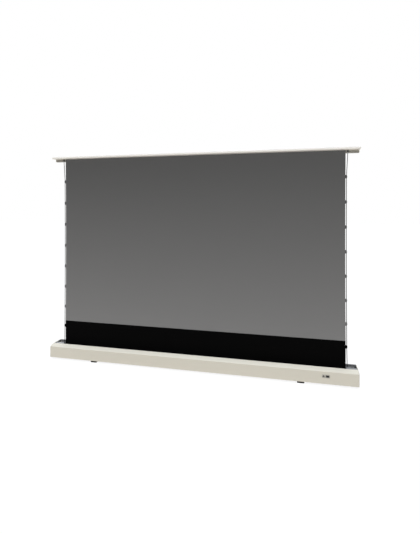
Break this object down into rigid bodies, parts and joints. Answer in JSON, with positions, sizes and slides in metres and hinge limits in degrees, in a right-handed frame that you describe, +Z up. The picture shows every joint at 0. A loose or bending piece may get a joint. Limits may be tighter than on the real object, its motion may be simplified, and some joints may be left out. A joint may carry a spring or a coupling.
{
  "type": "pull up projection screen",
  "caption": "Floor-standing motorised projection screen: folding arms raise a tab-tensioned grey cloth under a slim lid out of a long low case.",
  "frame": {"origin": "on the floor, under the middle of the case and lid", "axes": "+Z up, +X to the right of a viewer who faces the screen, +Y from its front to its back"},
  "size_m": [2.41, 0.138, 1.65],
  "materials": {
    "case_metal": "extruded sheet, satin pale grey-beige powder coat",
    "base_steel": "folded sheet, satin pale grey-beige powder coat",
    "end_cap_plastic": "fine-grained moulding in the case's colour",
    "lid_metal": "extrusion, satin off-white powder coat",
    "bar_metal": "extrusion, satin mid-grey powder coat",
    "recess_metal": "satin grey",
    "grey_screen": "matt grey projection cloth, fine optical texture",
    "black_cloth": "matt black masking cloth",
    "cord_fibre": "braided charcoal tension cord",
    "arm_aluminium": "brushed, clear anodised",
    "motor_metal": "satin",
    "zinc_steel": "bright zinc plate",
    "spring_steel": "blued strip",
    "dark_plastic": "moulded, fine grain",
    "window_plastic": "smooth moulding",
    "button_plastic": "smooth",
    "lens_plastic": "polished infrared-clear plastic",
    "circuit_board": "green solder resist",
    "dark_rubber": "matt, dark brown-grey"
  },
  "bodies": {
    "case": {"case_base": "base_steel", "case_front_cover": "case_metal", "case_back_cover": "case_metal", "left_end_cap": "end_cap_plastic", "right_end_cap": "end_cap_plastic", "left_recess_plate": "recess_metal", "right_recess_plate": "recess_metal", "left_lid_pad": "dark_rubber", "right_lid_pad": "dark_rubber", "left_foot": "dark_rubber", "right_foot": "dark_rubber", "left_roller_bracket": "zinc_steel", "right_roller_bracket": "zinc_steel", "tubular_motor": "motor_metal", "idler_shaft": "zinc_steel", "left_arm_base": "zinc_steel", "right_arm_base": "zinc_steel", "control_window": "window_plastic", "sensor_lens": "lens_plastic", "control_board": "circuit_board", "power_supply": "motor_metal", "mains_inlet": "dark_plastic", "screen_surface": "grey_screen", "black_leader": "black_cloth", "left_tab_strip": "grey_screen", "right_tab_strip": "grey_screen", "left_leader_tab": "black_cloth", "right_leader_tab": "black_cloth", "left_tension_cord": "cord_fibre", "right_tension_cord": "cord_fibre"},
    "roller": {"roller_tube": "arm_aluminium", "leader_spline": "dark_plastic", "leader_wrap": "black_cloth", "drive_crown": "dark_plastic", "idler_plug": "dark_plastic", "idler_bearing": "zinc_steel", "left_cord_spool": "dark_plastic", "right_cord_spool": "dark_plastic"},
    "lid": {"lid_plate": "lid_metal", "lid_bar": "bar_metal", "hem_spline": "dark_plastic", "left_lid_cap": "lid_metal", "right_lid_cap": "lid_metal", "left_cord_anchor": "dark_plastic", "right_cord_anchor": "dark_plastic", "left_lid_lug": "zinc_steel", "right_lid_lug": "zinc_steel"},
    "left_lower_arm": {"left_lower_arm": "arm_aluminium", "left_spring_drum": "dark_plastic", "left_elbow_spring": "spring_steel"},
    "right_lower_arm": {"right_lower_arm": "arm_aluminium", "right_spring_drum": "dark_plastic", "right_elbow_spring": "spring_steel"},
    "left_upper_arm": {"left_upper_arm": "arm_aluminium", "left_elbow_pin": "zinc_steel"},
    "right_upper_arm": {"right_upper_arm": "arm_aluminium", "right_elbow_pin": "zinc_steel"},
    "control_button": {"control_button": "button_plastic"}
  },
  "joints": [
    {"name": "left_lower_arm_swing", "type": "hinge", "parent": "case", "child": "left_lower_arm", "pos_m": [-0.86, 0.0515, 0.033], "axis": [0, 1, 0], "range_deg": [0, 80.42], "deforming": ["screen_surface", "black_leader", "left_tab_strip", "right_tab_strip", "left_leader_tab", "right_leader_tab", "left_tension_cord", "right_tension_cord"]},
    {"name": "left_elbow_fold", "type": "hinge", "parent": "left_lower_arm", "child": "left_upper_arm", "pos_m": [-0.759, 0.045, 0.8145], "axis": [0, 1, 0], "range_deg": [-160.86, 0]},
    {"name": "lid_level", "type": "hinge", "parent": "left_upper_arm", "child": "lid", "pos_m": [-0.86, 0.0385, 1.596], "axis": [0, 1, 0], "range_deg": [0, 80.44]},
    {"name": "right_lower_arm_swing", "type": "hinge", "parent": "case", "child": "right_lower_arm", "pos_m": [0.86, 0.0515, 0.033], "axis": [0, 1, 0], "range_deg": [-80.44, 0]},
    {"name": "right_elbow_fold", "type": "hinge", "parent": "right_lower_arm", "child": "right_upper_arm", "pos_m": [0.759, 0.045, 0.8145], "axis": [0, 1, 0], "range_deg": [0, 160.86]},
    {"name": "roller_turn", "type": "hinge", "parent": "case", "child": "roller", "pos_m": [0, -0.0065, 0.057], "axis": [1, 0, 0], "range_deg": [-2457, 0]},
    {"name": "control_button_press", "type": "slide", "parent": "case", "child": "control_button", "axis": [0, 1, 0], "range_m": [0, 0.0008], "stiffness_N_per_m": 600, "springref_m": -0.0005}
  ],
  "couplings": [
    {"joint": "left_elbow_fold", "follows": "left_lower_arm_swing", "ratio": -2},
    {"joint": "lid_level", "follows": "left_lower_arm_swing", "ratio": 1},
    {"joint": "right_lower_arm_swing", "follows": "left_lower_arm_swing", "ratio": -1},
    {"joint": "right_elbow_fold", "follows": "left_lower_arm_swing", "ratio": 2},
    {"joint": "roller_turn", "follows": "left_lower_arm_swing", "ratio": -30.536}
  ]
}
